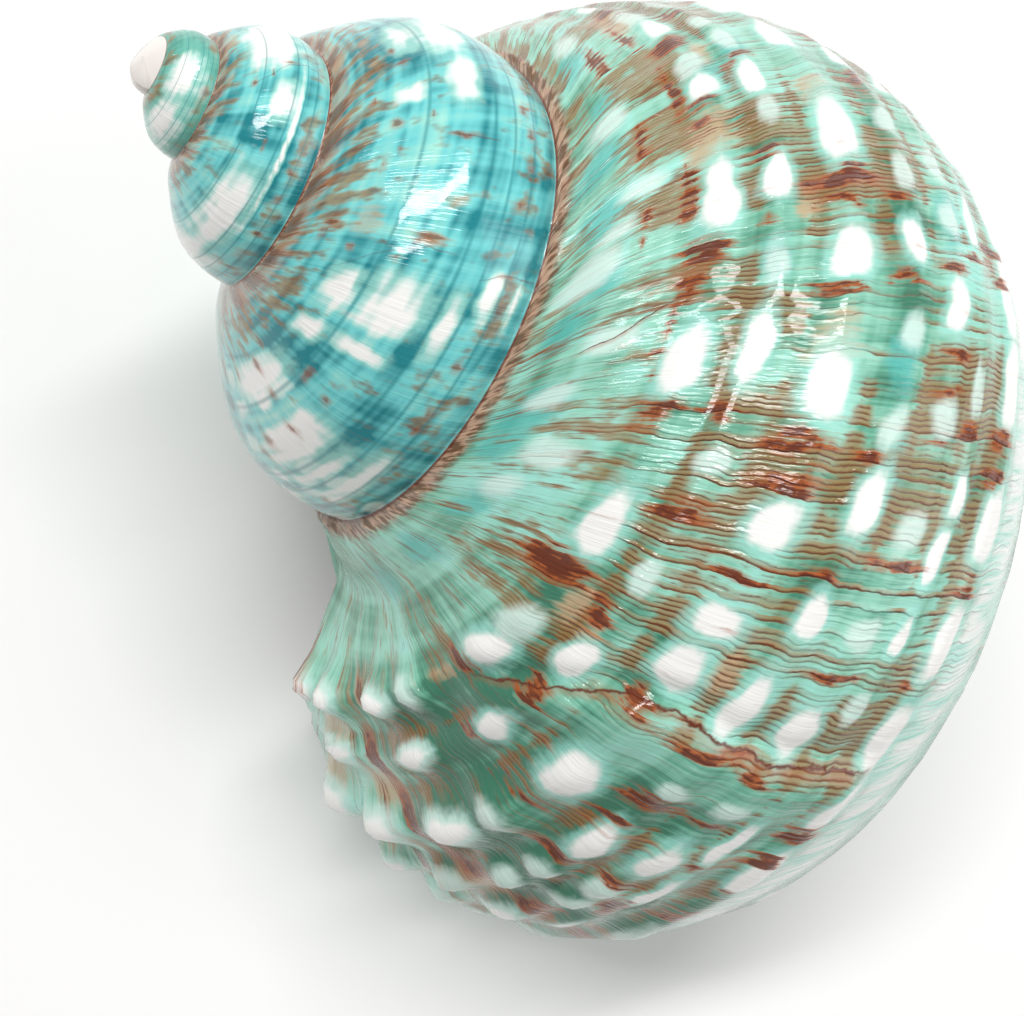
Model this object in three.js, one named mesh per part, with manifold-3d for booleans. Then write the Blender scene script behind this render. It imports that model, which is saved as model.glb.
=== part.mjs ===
// Turban shell lying on its aperture. It grew as one piece: a tube that winds round an axis
// and widens by the same factor each turn. Millimetres, +Z up.
import * as THREE from "three";
import { ParametricGeometry } from "three/addons/geometries/ParametricGeometry.js";
import { mergeVertices } from "three/addons/utils/BufferGeometryUtils.js";
import ManifoldModule from "manifold-3d";

const TURN = 2 * Math.PI;
const DEG = Math.PI / 180;

// Growth: each turn is this much larger than the last one. Growth angle 0 is the middle of
// the back, and the lip leaves the suture at LIP_ANGLE.
const TURN_FACTOR = 2.1;
const GROWTH = Math.log(TURN_FACTOR) / TURN;
const LIP_ANGLE = 138 * DEG;

// Outline of a whorl at growth angle 0, from the upper suture over the periphery to the
// base: distance from the axis and depth below the apex.
const SUTURE = new THREE.Vector2(17.4, 27.4);
const OUTLINE = [
  SUTURE,
  new THREE.Vector2(23.9, 31.0),
  new THREE.Vector2(34.4, 42.4),
  SUTURE.clone().multiplyScalar(TURN_FACTOR),
  new THREE.Vector2(29.8, 69.0),
  new THREE.Vector2(21.5, 74.0),
  new THREE.Vector2(12.0, 75.6),
  new THREE.Vector2(2.2, 72.0),
];

// Growth lines lean back from the suture: steeply over the ramp, then evenly.
const LEAN_EVEN = 23 * DEG;
const LEAN_RAMP = 25 * DEG;
const RAMP_SHARE = 0.15;

// Spiral cords, from the shoulder to the lower suture: place across the whorl, height of
// the cord and height of its nodules near the lip.
const CORDS = [
  [0.31, 0.5, 1.5],
  [0.42, 0.3, 0.8],
  [0.55, 0.5, 1.3],
  [0.67, 0.4, 1.0],
  [0.79, 0.4, 0.8],
  [0.925, 0.3, 0.3],
];
const CORD_WIDTH = 0.045;
const NODULES_PER_TURN = 16;
const RAMP_HOLLOW = 2.6;
const RAMP_HOLLOW_AT = 0.14;
const RAMP_HOLLOW_WIDTH = 0.085;

// Hollow of the body whorl at growth angle 0: distance from the axis, depth below the apex
// and degrees behind the suture.
const HOLLOW = [
  [18.9, 34.5, 18],
  [27.6, 39.4, 30],
  [33.4, 48.1, 41],
  [33.9, 57.2, 48],
  [28.4, 65.6, 55],
  [18.9, 70.0, 61],
  [10.9, 67.0, 55],
  [7.6, 57.2, 35],
  [8.2, 46.8, 12],
  [11.9, 39.0, 6],
];
const HOLLOW_TURNS = 0.8;
const LIP_FLARE = 0.08;
const PAST_LIP = 0.3;

// Pillar on the axis and the smooth first whorl at the tip.
const PILLAR = [
  [0, 1.4],
  [0.6, 2.4],
  [5.0, 40],
  [17.0, 47],
  [16.0, 53],
  [13.2, 60],
  [10.2, 67],
  [7.2, 74],
  [4.6, 80],
  [2.4, 83],
  [0, 84],
];
const TIP_RADIUS = 1.75;
const TIP_DEPTH = 2.3;

// Rest: the shell lies on its aperture, touching at the tip of the pillar, the lip and the
// whorl beside the aperture, which are worn flat by FLOOR_WEAR.
const REST = new THREE.Euler(-44.64 * DEG, -50.56 * DEG, -65.22 * DEG, "XYZ");
const FLOOR_WEAR = 0.3;

const CROSS_ROWS = [
  0, 0.07, 0.14, 0.21, 0.265, 0.31, 0.365, 0.42, 0.485, 0.55, 0.61, 0.67, 0.73, 0.79,
  0.86, 0.925, 1.0, 1.12, 1.26, 1.42, 1.58, 1.74, 1.88,
];
const INNER_ROWS = 3;

const outline = new THREE.SplineCurve(OUTLINE);
outline.arcLengthDivisions = 400;
const LOWER_SUTURE = 3;
const lengths = outline.getLengths();
const sutureLength = lengths[Math.round((400 * LOWER_SUTURE) / (OUTLINE.length - 1))];
const BASE_END = lengths[400] / sutureLength;

function lean(t) {
  const ramp = (1 - Math.exp(-t / RAMP_SHARE)) / (1 - Math.exp(-1 / RAMP_SHARE));
  return LEAN_EVEN * t + LEAN_RAMP * ramp;
}

function hump(x, width) {
  return Math.exp(-((x / width) ** 2));
}

function relief(phi, t) {
  const late = THREE.MathUtils.smoothstep(phi, 0.1, 1.5);
  const body = THREE.MathUtils.smoothstep(phi, -4.5, -1.5);
  let lift = -RAMP_HOLLOW * late * hump(t - RAMP_HOLLOW_AT, RAMP_HOLLOW_WIDTH);
  CORDS.forEach(([place, cord, nodule], row) => {
    const beat = 0.5 + 0.5 * Math.cos(phi * NODULES_PER_TURN + row * 1.9);
    const knob = nodule * late * beat * beat;
    lift += (cord * body + knob) * hump(t - place, CORD_WIDTH);
  });
  return lift;
}

function place(phi, radius, depth, target) {
  const size = Math.exp(GROWTH * phi);
  const r = radius * size;
  return target.set(r * Math.cos(phi), -r * Math.sin(phi), -depth * size);
}

function onWhorl(theta, t, target) {
  const share = Math.min(t / BASE_END, 1);
  const point = outline.getPointAt(share);
  const along = outline.getTangentAt(share);
  const phi = theta - lean(t);
  const lift = relief(phi, t);
  return place(phi, point.x + lift * along.y, point.y - lift * along.x, target);
}

// One growth line as a closed ring: out over the whorl, then back up close to the axis.
function ringPoint(theta, index, target) {
  if (index < CROSS_ROWS.length) {
    return onWhorl(theta, CROSS_ROWS[index], target);
  }
  const step = (index - CROSS_ROWS.length) / (INNER_ROWS - 1);
  const end = OUTLINE[OUTLINE.length - 1];
  const depth = THREE.MathUtils.lerp(end.y, SUTURE.y, step);
  return place(theta - lean(BASE_END) * (1 - step), end.x, depth, target);
}

// A closed length of tube through a run of growth angles; its first and last rows of points
// are drawn together into the middle of each end.
function tube(angles, points, pointAt, middle) {
  const stacks = angles.length + 1;
  return new ParametricGeometry((u, v, target) => {
    const row = Math.round(v * stacks);
    const theta = angles[THREE.MathUtils.clamp(row - 1, 0, angles.length - 1)];
    if (row === 0 || row === stacks) {
      middle(theta, target);
    } else {
      pointAt(theta, Math.round((1 - u) * points) % points, target);
    }
  }, points, stacks);
}

function wholeWhorl(angles) {
  const points = CROSS_ROWS.length + INNER_ROWS;
  return tube(angles, points, ringPoint, (theta, target) => {
    place(theta - 0.6, 17, 52, target);
  });
}

const hollowLoop = new THREE.CatmullRomCurve3(
  HOLLOW.map(([r, depth, back]) => new THREE.Vector3(r, depth, back)), true, "catmullrom", 0.5,
);
const hollowMiddle = new THREE.Vector2(20.5, 53.5);

function hollowPoint(theta, share, target) {
  const at = hollowLoop.getPoint(share);
  const nearLip = THREE.MathUtils.smoothstep(theta, LIP_ANGLE - 0.35, LIP_ANGLE);
  const flare = 1 + LIP_FLARE * nearLip;
  const r = hollowMiddle.x + (at.x - hollowMiddle.x) * flare;
  const depth = hollowMiddle.y + (at.y - hollowMiddle.y) * flare;
  return place(theta - at.z * DEG, r, depth, target);
}

const wasm = await ManifoldModule();
wasm.setup();

function toSolid(geometry) {
  const bare = geometry.clone();
  bare.deleteAttribute("normal");
  bare.deleteAttribute("uv");
  const merged = mergeVertices(bare, 1e-5);
  const kept = [];
  const index = merged.index.array;
  for (let i = 0; i < index.length; i += 3) {
    const [a, b, c] = [index[i], index[i + 1], index[i + 2]];
    if (a !== b && b !== c && c !== a) {
      kept.push(a, b, c);
    }
  }
  return new wasm.Manifold(new wasm.Mesh({
    numProp: 3,
    vertProperties: new Float32Array(merged.attributes.position.array),
    triVerts: new Uint32Array(kept),
  }));
}

// Half turns from the tip to the lip, with more growth lines where the shell is larger. Each
// one laps the half turn before it by a step.
const HALF_COLUMNS = [6, 7, 9, 12, 15, 18, 22, 32, 40];
const angles = [];
const starts = [];
HALF_COLUMNS.forEach((columns, i) => {
  const from = LIP_ANGLE - ((HALF_COLUMNS.length - i) * TURN) / 2;
  starts.push(angles.length);
  for (let j = 0; j < columns; j += 1) {
    angles.push(from + (j * TURN) / 2 / columns);
  }
});
angles.push(LIP_ANGLE);
let solid = null;
starts.forEach((start, i) => {
  const end = i + 1 < starts.length ? starts[i + 1] : angles.length - 1;
  const half = toSolid(wholeWhorl(angles.slice(Math.max(start - 1, 0), end + 1)));
  solid = solid ? solid.add(half) : half;
});

const pillarSide = PILLAR.map(([r, depth]) => new THREE.Vector2(r, -depth)).reverse();
const pillar = new THREE.LatheGeometry(pillarSide, 18);
pillar.rotateX(Math.PI / 2);
const tip = new THREE.SphereGeometry(TIP_RADIUS, 16, 10);
tip.translate(0, 0, -TIP_DEPTH);
solid = solid.add(toSolid(pillar)).add(toSolid(tip));

const HOLLOW_POINTS = 20;
const HOLLOW_COLUMNS = 30;
const hollowAngles = [];
for (let j = 0; j <= HOLLOW_COLUMNS; j += 1) {
  const back = HOLLOW_TURNS * TURN * (1 - j / HOLLOW_COLUMNS);
  hollowAngles.push(LIP_ANGLE + PAST_LIP - back);
}
const hollow = tube(
  hollowAngles, HOLLOW_POINTS,
  (theta, index, target) => hollowPoint(theta, index / HOLLOW_POINTS, target),
  (theta, target) => place(theta - 0.6, hollowMiddle.x, hollowMiddle.y, target),
);
solid = solid.subtract(toSolid(hollow));

function toGeometry(manifold) {
  const mesh = manifold.getMesh();
  const geometry = new THREE.BufferGeometry();
  geometry.setAttribute("position", new THREE.BufferAttribute(mesh.vertProperties, 3));
  geometry.setIndex(new THREE.BufferAttribute(mesh.triVerts, 1));
  return geometry;
}

// Wear of the three resting points: a flat cut just above the lowest point of the shell.
const FLOOR_SIZE = 200;
const toRest = new THREE.Matrix4().makeRotationFromEuler(REST);
const lowest = toGeometry(solid).applyMatrix4(toRest);
lowest.computeBoundingBox();
const floor = new THREE.BoxGeometry(FLOOR_SIZE, FLOOR_SIZE, FLOOR_SIZE);
floor.translate(0, 0, lowest.boundingBox.min.z + FLOOR_WEAR - FLOOR_SIZE / 2);
floor.applyMatrix4(toRest.clone().invert());
solid = solid.subtract(toSolid(floor));

const geometry = toGeometry(solid).applyMatrix4(toRest);
geometry.computeBoundingBox();
const { min, max } = geometry.boundingBox;

const shell = new THREE.Mesh(geometry, new THREE.MeshStandardMaterial({
  color: 0x7fc3b4, roughness: 0.18, metalness: 0,
}));
shell.name = "shell";
shell.position.set(-(min.x + max.x) / 2, -(min.y + max.y) / 2, -min.z);

const group = new THREE.Group();
group.add(shell);

export default group;
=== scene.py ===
"""Turban shell: the fine mesh, markings and polish of one shell, with its studio."""

import math

import bmesh
import bpy
import numpy as np
from mathutils import Matrix, Vector


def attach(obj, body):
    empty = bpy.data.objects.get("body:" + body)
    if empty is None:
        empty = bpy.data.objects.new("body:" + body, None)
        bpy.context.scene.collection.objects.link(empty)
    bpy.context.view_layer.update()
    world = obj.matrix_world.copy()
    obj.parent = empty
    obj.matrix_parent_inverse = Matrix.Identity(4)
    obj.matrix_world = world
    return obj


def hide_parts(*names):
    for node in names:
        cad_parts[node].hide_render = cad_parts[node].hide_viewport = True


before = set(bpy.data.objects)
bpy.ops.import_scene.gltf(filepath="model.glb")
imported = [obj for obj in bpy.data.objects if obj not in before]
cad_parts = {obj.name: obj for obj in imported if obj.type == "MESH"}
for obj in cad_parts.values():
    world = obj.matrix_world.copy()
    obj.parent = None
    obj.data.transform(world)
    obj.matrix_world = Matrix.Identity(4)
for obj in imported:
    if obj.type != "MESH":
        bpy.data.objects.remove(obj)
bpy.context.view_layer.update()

bl_info = {
    "name": "Turban shell",
    "version": (1, 0, 0),
    "blender": (4, 5, 0),
    "location": "View3D > Sidebar > Shell",
    "description": "Grows a polished turban shell and sets up its studio",
    "category": "Add Mesh",
}

MM = 0.001
SEED = 41

# How much larger each turn is than the last one.
TURN_FACTOR = 2.1

# How far the lip draws back at the shoulder, in degrees.
LIP_RECESS = 23.0

# Outline of a whorl at growth angle 0: distance from the axis and depth below the apex, mm.
# The lower suture is the upper one of a turn later.
OUTLINE_START = ((23.9, 31.0), (34.4, 42.4))
OUTLINE_BASE = ((29.8, 69.0), (21.5, 74.0), (12.0, 75.6), (2.2, 72.0))

# Growth lines lean back from the suture, in degrees: steeply over the ramp, then evenly.
LEAN_EVEN = 23.0
LEAN_RAMP = 25.0
RAMP_SHARE = 0.15

# Middle and width of the hollow of the ramp, and width of the spiral cords, across the whorl.
RAMP_AT = 0.14
RAMP_WIDTH = 0.085
CORD_WIDTH = 0.03

# Growth angle from which the cords carry nodules, in degrees.
NODULES_FROM = 8.0

# Growth angles, in degrees, where the mesh gets finer, from the tip to the lip.
FIRST_ANGLE = -1338.0
SPIRE_ANGLE = -582.0
BODY_ANGLE = -222.0
COLUMN_STEPS = (3.0, 1.5, 0.75)
CROSS_ROWS = 60
BASE_ROWS = 44

# Fairing of the base towards the tip of the pillar: distance from the axis and depth, mm.
PILLAR = ((0.0, 84.0), (2.4, 83.0), (4.6, 80.0), (7.2, 74.0), (10.2, 67.0), (13.2, 60.0),
          (16.0, 53.0), (18.0, 46.0), (24.0, 20.0))

# Hollow of the body whorl: distance from the axis, depth and degrees behind the suture.
HOLLOW = ((18.9, 34.5, 18), (27.6, 39.4, 30), (33.4, 48.1, 41), (33.9, 57.2, 48),
          (28.4, 65.6, 55), (18.9, 70.0, 61), (10.9, 67.0, 55), (7.6, 57.2, 35),
          (8.2, 46.8, 12), (11.9, 39.0, 6))
HOLLOW_MIDDLE = (20.5, 53.5)
HOLLOW_RINGS = 54
HOLLOW_REACH = 270.0
RIM_STEPS = (0.0, 0.12, 0.34, 0.62, 0.86, 1.0)

# Points this close become one, and how far the worn dome of the tip rises, mm.
WELD = 0.004
TIP_RISE = 0.5

# Rest: turns about X, Y and Z in degrees, and where the apex then lies, mm.
REST_TURNS = (-44.64, -50.56, -65.22)
APEX_AT = (-32.82, 29.14, 39.96)

# The photo's view: place of the camera in mm, and its turns about X, Y and Z in degrees.
CAMERA_AT = (-20.18, -0.14, 136.07)
CAMERA_TURNS = (-0.96, -7.88, 0.13)
CAMERA_LENS = 50.29
SENSOR_WIDTH = 36.0
CAMERA_NEAR = 0.005

# Place and size of the two lights, the spot that they face, and half the floor's side, m.
KEY_LIGHT = ((-0.06, 0.24, 0.48), (0.5, 0.06))
FILL_LIGHT = ((0.32, -0.05, 0.28), (0.3, 0.3))
LIGHT_AIM = (0.0, 0.0, 0.02)
FLOOR_HALF = 3.0

# White blotches along the spiral cords of the body whorl: place across the whorl, half
# height, nodule height in mm, then growth angle, half length and whiteness of each blotch.
WHITE_ROWS = (
    (0.312, 0.036, 1.5, (
        (-86, 4.5, 0.7), (-77.5, 3.6, 1.0), (-64.5, 2.8, 0.7), (-57.5, 3.2, 0.9),
        (-35.5, 5.6, 1.0), (-11, 4.8, 1.0), (12.8, 4.9, 1.0), (30, 3.2, 0.75), (36.6, 3.2, 1.0),
        (52.5, 2.8, 0.8), (60.5, 3.6, 1.0), (74.5, 3.2, 1.0), (83, 3.2, 1.0))),
    (0.42, 0.027, 0.9, (
        (-79, 2.6, 0.6), (-71.5, 3.6, 0.7), (-60, 3.6, 1.0), (-53.5, 2.8, 0.75),
        (-40.5, 3.0, 0.95), (-28, 3.6, 0.8), (-16, 4.4, 0.9), (-2, 1.8, 0.6), (12.5, 2.3, 0.7),
        (26.5, 2.5, 1.0), (41.5, 2.7, 0.9), (57, 4.2, 0.9), (76, 5.0, 0.9))),
    (0.555, 0.042, 1.3, (
        (-87, 5.0, 1.0), (-73.5, 4.6, 1.0), (-50.5, 5.6, 1.0), (-33, 3.4, 1.0), (-16.5, 4.2, 1.0),
        (-1, 3.0, 0.9), (11.3, 2.4, 0.95), (17.4, 2.3, 0.95), (35.5, 4.1, 1.0), (47, 2.2, 0.6),
        (55.5, 4.6, 1.0), (70, 4.2, 0.9), (83, 4.5, 0.9))),
    (0.685, 0.029, 1.0, (
        (-57, 3.0, 0.5), (-48, 2.6, 0.5), (-37.5, 2.8, 1.0), (-27, 2.7, 0.7), (-16.5, 2.8, 0.7),
        (-7.5, 3.6, 0.85), (5, 2.7, 0.95), (16, 3.8, 1.0), (27.7, 1.6, 0.6), (39.5, 3.4, 1.0),
        (47, 2.2, 0.7), (53, 2.2, 0.8), (64, 2.6, 0.8), (77, 3.4, 0.9))),
    (0.79, 0.032, 0.8, (
        (-53, 3.0, 0.6), (-45, 2.7, 0.7), (-33, 3.7, 1.0), (-20.5, 2.7, 0.75), (-9, 2.3, 0.7),
        (2.5, 1.8, 0.6), (14.5, 3.0, 0.85), (25, 1.5, 0.6), (36, 3.3, 1.0), (44, 2.2, 0.75),
        (49, 1.8, 0.7), (60, 3.8, 0.85), (74, 3.2, 0.8))),
    (0.86, 0.017, 0.3, (
        (-14, 2.3, 0.95), (-7.5, 2.6, 0.9), (1, 2.6, 0.85), (8.5, 2.2, 0.7))),
    (1.215, 0.03, 0.3, ((-120, 3.5, 0.9), (-40, 3.5, 0.9), (40, 3.5, 0.9))),
    (1.33, 0.026, 0.3, ((-110, 3.0, 0.8), (-30, 3.5, 0.9), (50, 3.0, 0.9))),
    (1.445, 0.026, 0.3, ((-125, 3.0, 0.9), (-45, 3.5, 0.7), (35, 3.0, 0.9))),
    (0.972, 0.032, 0.3, (
        (-52, 6.0, 0.9), (-40, 6.0, 1.0), (-29, 5.0, 1.0), (-13.5, 4.3, 1.0), (-1, 4.0, 1.0),
        (10.5, 4.6, 1.0), (19, 3.4, 0.9), (31, 4.5, 0.9), (50, 4.0, 0.7))),
)

# White blocks on the whorl above: growth angle, place across, half length, half height.
WHITE_BLOCKS = (
    (-434, 0.36, 7, 0.07), (-436, 0.52, 9, 0.09), (-412, 0.56, 5.5, 0.06), (-403, 0.34, 2, 0.05),
    (-343, 0.34, 4, 0.06), (-327, 0.33, 3, 0.05), (-298, 0.34, 10, 0.06), (-349.5, 0.54, 5, 0.1),
    (-335, 0.52, 1.6, 0.09), (-304, 0.60, 8.5, 0.075), (-353, 0.73, 5.5, 0.033),
    (-304, 0.73, 8, 0.033), (-363, 0.83, 4, 0.03), (-309, 0.84, 9, 0.04), (-365, 0.935, 4, 0.014),
    (-682, 0.57, 17, 0.14), (-790, 0.48, 17, 0.2), (-745, 0.62, 8, 0.09), (-720, 0.74, 30, 0.02),
    (-640, 0.6, 10, 0.16), (-1030, 0.55, 24, 0.2), (-1090, 0.5, 16, 0.25), (-975, 0.6, 12, 0.2),
)

# Red-brown marks: growth angle, place across, half length, half height, depth of colour.
BROWN_MARKS = (
    (-77, 0.235, 4.5, 0.014, 0.9), (-71.3, 0.298, 3.4, 0.036, 1.0), (-58, 0.252, 7.0, 0.012, 0.7),
    (-53.6, 0.30, 1.7, 0.02, 0.8), (-50, 0.285, 1.2, 0.014, 0.8), (-36, 0.253, 4.4, 0.013, 1.0),
    (-27.5, 0.30, 3.4, 0.028, 1.0), (-21.5, 0.283, 4.2, 0.018, 0.9), (-13, 0.266, 4.5, 0.008, 0.8),
    (-4.0, 0.302, 3.2, 0.028, 1.0), (20.6, 0.286, 3.4, 0.036, 0.95), (41.4, 0.30, 2.0, 0.02, 0.8),
    (68, 0.295, 3.2, 0.03, 0.7), (84.5, 0.29, 3.0, 0.03, 0.8), (-70, 0.142, 5.0, 0.017, 0.9),
    (-46, 0.172, 3.6, 0.012, 0.8), (-30, 0.18, 1.7, 0.009, 0.7), (-25, 0.185, 1.6, 0.008, 0.6),
    (-84, 0.378, 2.6, 0.01, 0.8), (-45, 0.40, 2.6, 0.016, 0.8), (-34, 0.40, 2.4, 0.016, 0.7),
    (-7.5, 0.405, 2.6, 0.02, 0.9), (4.5, 0.41, 3.2, 0.03, 0.9), (20, 0.405, 2.6, 0.018, 0.6),
    (32.5, 0.412, 3.6, 0.018, 1.0), (46, 0.41, 2.2, 0.016, 0.7), (67, 0.42, 2.4, 0.03, 0.8),
    (-66, 0.42, 1.6, 0.03, 0.8), (-43.6, 0.55, 2.6, 0.05, 0.9), (-40, 0.55, 1.6, 0.06, 0.6),
    (-27.8, 0.54, 1.6, 0.03, 0.9), (-10.3, 0.535, 2.0, 0.04, 1.0), (-6, 0.55, 2.2, 0.05, 0.7),
    (5, 0.545, 1.6, 0.05, 0.8), (22.2, 0.54, 2.0, 0.022, 1.0), (42.5, 0.545, 1.3, 0.05, 0.9),
    (63, 0.55, 2.6, 0.045, 0.8), (-64, 0.66, 3.0, 0.02, 0.7), (-43.4, 0.655, 2.2, 0.022, 0.9),
    (-33, 0.665, 1.2, 0.03, 0.8), (-12.4, 0.655, 1.2, 0.02, 0.9), (0.6, 0.66, 1.4, 0.02, 0.8),
    (21.4, 0.67, 1.7, 0.045, 0.7), (31, 0.675, 3.0, 0.034, 0.5), (35.2, 0.67, 1.3, 0.03, 0.9),
    (44, 0.665, 1.2, 0.03, 0.9), (57.5, 0.66, 3.4, 0.03, 0.9), (70, 0.66, 2.6, 0.04, 0.9),
    (-38, 0.775, 1.2, 0.03, 0.9), (-27.3, 0.79, 1.2, 0.03, 0.7), (-23.4, 0.785, 1.0, 0.03, 0.6),
    (-17, 0.775, 0.9, 0.03, 0.8), (-5.4, 0.79, 1.0, 0.035, 0.7), (7.6, 0.79, 1.0, 0.03, 0.6),
    (20, 0.785, 1.1, 0.035, 0.9), (28.6, 0.78, 1.1, 0.022, 0.8), (42.5, 0.785, 1.1, 0.04, 0.9),
    (54.5, 0.785, 2.0, 0.03, 0.8), (-45.3, 0.94, 1.7, 0.035, 0.8), (-41, 0.945, 1.2, 0.02, 0.5),
    (-23.4, 0.943, 2.3, 0.024, 1.0), (-19, 0.944, 2.4, 0.018, 0.8), (-7, 0.962, 2.6, 0.024, 0.5),
    (3.6, 0.94, 0.8, 0.012, 0.7), (23.4, 0.956, 3.8, 0.024, 0.9), (28.6, 0.956, 1.8, 0.022, 0.9),
    (35, 0.962, 2.2, 0.02, 0.6), (42.6, 0.968, 2.6, 0.032, 1.0), (58, 0.96, 3.0, 0.04, 0.9),
    (-423, 0.285, 2.0, 0.014, 0.9), (-417, 0.31, 1.6, 0.04, 0.6), (-391, 0.30, 2.2, 0.026, 0.6),
    (-384, 0.335, 1.2, 0.018, 0.6), (-377, 0.285, 2.0, 0.01, 0.9), (-352.5, 0.29, 1.5, 0.018, 1.0),
    (-396.5, 0.19, 2.4, 0.013, 0.8), (-354, 0.19, 2.2, 0.034, 0.8), (-348, 0.17, 2.0, 0.02, 0.6),
    (-396.5, 0.43, 1.3, 0.014, 0.7), (-390.5, 0.432, 1.2, 0.008, 0.8), (-394, 0.56, 1.0, 0.06, 1.0),
    (-366, 0.55, 1.8, 0.06, 0.5), (-320, 0.44, 2.8, 0.022, 0.7), (-325, 0.54, 0.8, 0.03, 0.9),
    (-320, 0.55, 1.6, 0.02, 0.7), (-295, 0.55, 1.4, 0.02, 0.8), (-289, 0.60, 1.6, 0.05, 0.8),
    (-410, 0.82, 1.6, 0.03, 0.6), (-402.6, 0.85, 1.6, 0.018, 0.9), (-395, 0.855, 1.4, 0.02, 0.6),
    (-384, 0.83, 1.5, 0.03, 0.8), (-369, 0.86, 1.0, 0.03, 0.6), (-348, 0.85, 1.6, 0.02, 0.9),
    (-336, 0.86, 1.6, 0.018, 0.9), (-330, 0.86, 1.5, 0.016, 0.8), (-295, 0.85, 1.5, 0.02, 0.8),
    (-717, 0.85, 2.4, 0.04, 0.5), (-704, 0.85, 2.4, 0.04, 0.5), (-694, 0.83, 1.6, 0.03, 0.7),
    (-687, 0.85, 1.6, 0.04, 0.5), (-672, 0.85, 3.0, 0.05, 0.6), (-720, 0.59, 4.0, 0.018, 0.6),
    (-748, 0.35, 4.0, 0.03, 0.6), (-757, 0.49, 3.0, 0.012, 0.8), (-768, 0.62, 1.0, 0.07, 0.8),
)

# Sandy patches, as the brown marks.
SAND_MARKS = (
    (-86, 0.27, 7.0, 0.06, 0.8), (-47, 0.30, 6.5, 0.055, 0.8), (-68, 0.35, 6.0, 0.03, 0.3),
    (-22, 0.55, 4.0, 0.045, 0.8), (-58, 0.54, 5.0, 0.05, 0.5), (-14, 0.42, 5.0, 0.03, 0.4),
    (22, 0.41, 4.0, 0.02, 0.6), (66, 0.30, 4.5, 0.05, 0.7), (46, 0.30, 4.0, 0.02, 0.4),
    (-6, 0.965, 4.0, 0.04, 0.5), (60, 0.70, 5.0, 0.06, 0.5), (-362, 0.31, 5.5, 0.05, 0.9),
    (-432, 0.19, 5.0, 0.05, 0.6), (-417, 0.2, 2.5, 0.03, 0.4), (-405, 0.17, 2.5, 0.03, 0.5),
    (-377, 0.6, 2.0, 0.05, 0.5), (-366, 0.56, 2.5, 0.07, 0.4), (-790, 0.12, 12.0, 0.1, 0.7),
    (-748, 0.14, 8.0, 0.05, 0.4), (-712, 0.12, 8.0, 0.05, 0.4), (-685, 0.1, 6.0, 0.05, 0.4),
    (79, 0.37, 7.0, 0.05, 0.8), (86, 0.49, 8.0, 0.06, 0.8), (78, 0.61, 6.0, 0.05, 0.7),
    (14, 0.62, 4.0, 0.025, 0.7), (22, 0.36, 4.0, 0.03, 0.7), (-38, 0.47, 4.0, 0.03, 0.6),
    (68, 0.48, 5.0, 0.05, 0.7), (69, 0.73, 5.0, 0.05, 0.7), (76, 0.86, 6.0, 0.05, 0.7),
)

# Turquoise patches, as the brown marks.
BLUE_MARKS = (
    (-72, 0.09, 6.0, 0.05, 0.7), (-57, 0.12, 4.0, 0.05, 0.6), (-40, 0.09, 5.0, 0.055, 0.9),
    (-28, 0.10, 4.5, 0.05, 0.9), (-16, 0.13, 4.0, 0.05, 0.7), (-6, 0.09, 4.5, 0.055, 0.9),
    (9, 0.09, 5.5, 0.065, 1.0), (17, 0.08, 4.0, 0.05, 0.9), (30, 0.10, 5.0, 0.05, 0.6),
    (46, 0.10, 6.0, 0.05, 0.6), (62, 0.12, 6.0, 0.06, 0.6), (-62, 0.36, 5.0, 0.04, 0.7),
    (-68, 0.42, 5.0, 0.04, 0.8), (-28, 0.42, 4.0, 0.035, 0.9), (-24, 0.68, 5.0, 0.04, 0.8),
    (-12, 0.70, 5.0, 0.04, 0.8), (-45, 0.79, 5.0, 0.05, 0.7), (-20, 0.80, 4.0, 0.05, 0.8),
)

# Pale patches of the ramp, as the brown marks. The first one, at -17 degrees, is a painted highlight
# on the ramp.
PALE_AND_HIGHLIGHT_MARKS = (
    (-17, 0.10, 4.0, 0.05, 1.0), (-26, 0.13, 3.0, 0.04, 0.7), (-50, 0.11, 4.0, 0.05, 0.7),
    (4, 0.12, 3.0, 0.05, 0.6), (-80, 0.12, 5.0, 0.05, 0.6), (22, 0.13, 4.0, 0.05, 0.5),
    (-9, 0.18, 3.0, 0.05, 0.9), (11, 0.17, 3.0, 0.05, 0.8), (-36, 0.17, 3.0, 0.05, 0.7),
)

# Brown spiral lines between the cords: place across, width and strength.
BROWN_LINES = (
    (0.385, 0.013, 1.0), (0.485, 0.013, 0.8), (0.625, 0.013, 0.9), (0.735, 0.011, 0.8),
    (0.83, 0.012, 0.8), (0.925, 0.014, 0.8), (1.27, 0.014, 0.9), (1.39, 0.014, 0.9),
    (1.5, 0.014, 0.9),
)

# Corners of the marks, from round to square, and how far from a mark's middle it reaches.
ROUND = 2.0
RAGGED = 2.2
OBLONG = 2.6
SQUARE = 3.0
STAMP_REACH = 2.2

# On the body whorl a brown mark keeps this share of its length along the spiral.
STROKE = 0.55

# From this whiteness on, a blotch is white rather than pale.
WHITE_FROM = 0.85

# Past this growth angle the blotches sit on the nodules, small and with a pale rim.
NODULE_BLOTCHES_FROM = 48.0

# Degrees from one brown flame to the next along the sutures of the spire.
FLAME_STEP = 17.4

# Fine growth threads round one turn, and the height of the finest ones in the paint, mm.
THREADS_PER_TURN = 540.0
THREAD_HEIGHT = 0.2

# Scale of the paint's noise, along the spiral and across the whorl, at growth angle 0.
NOISE_ALONG = 305.0
NOISE_ACROSS = 42.0

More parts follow.
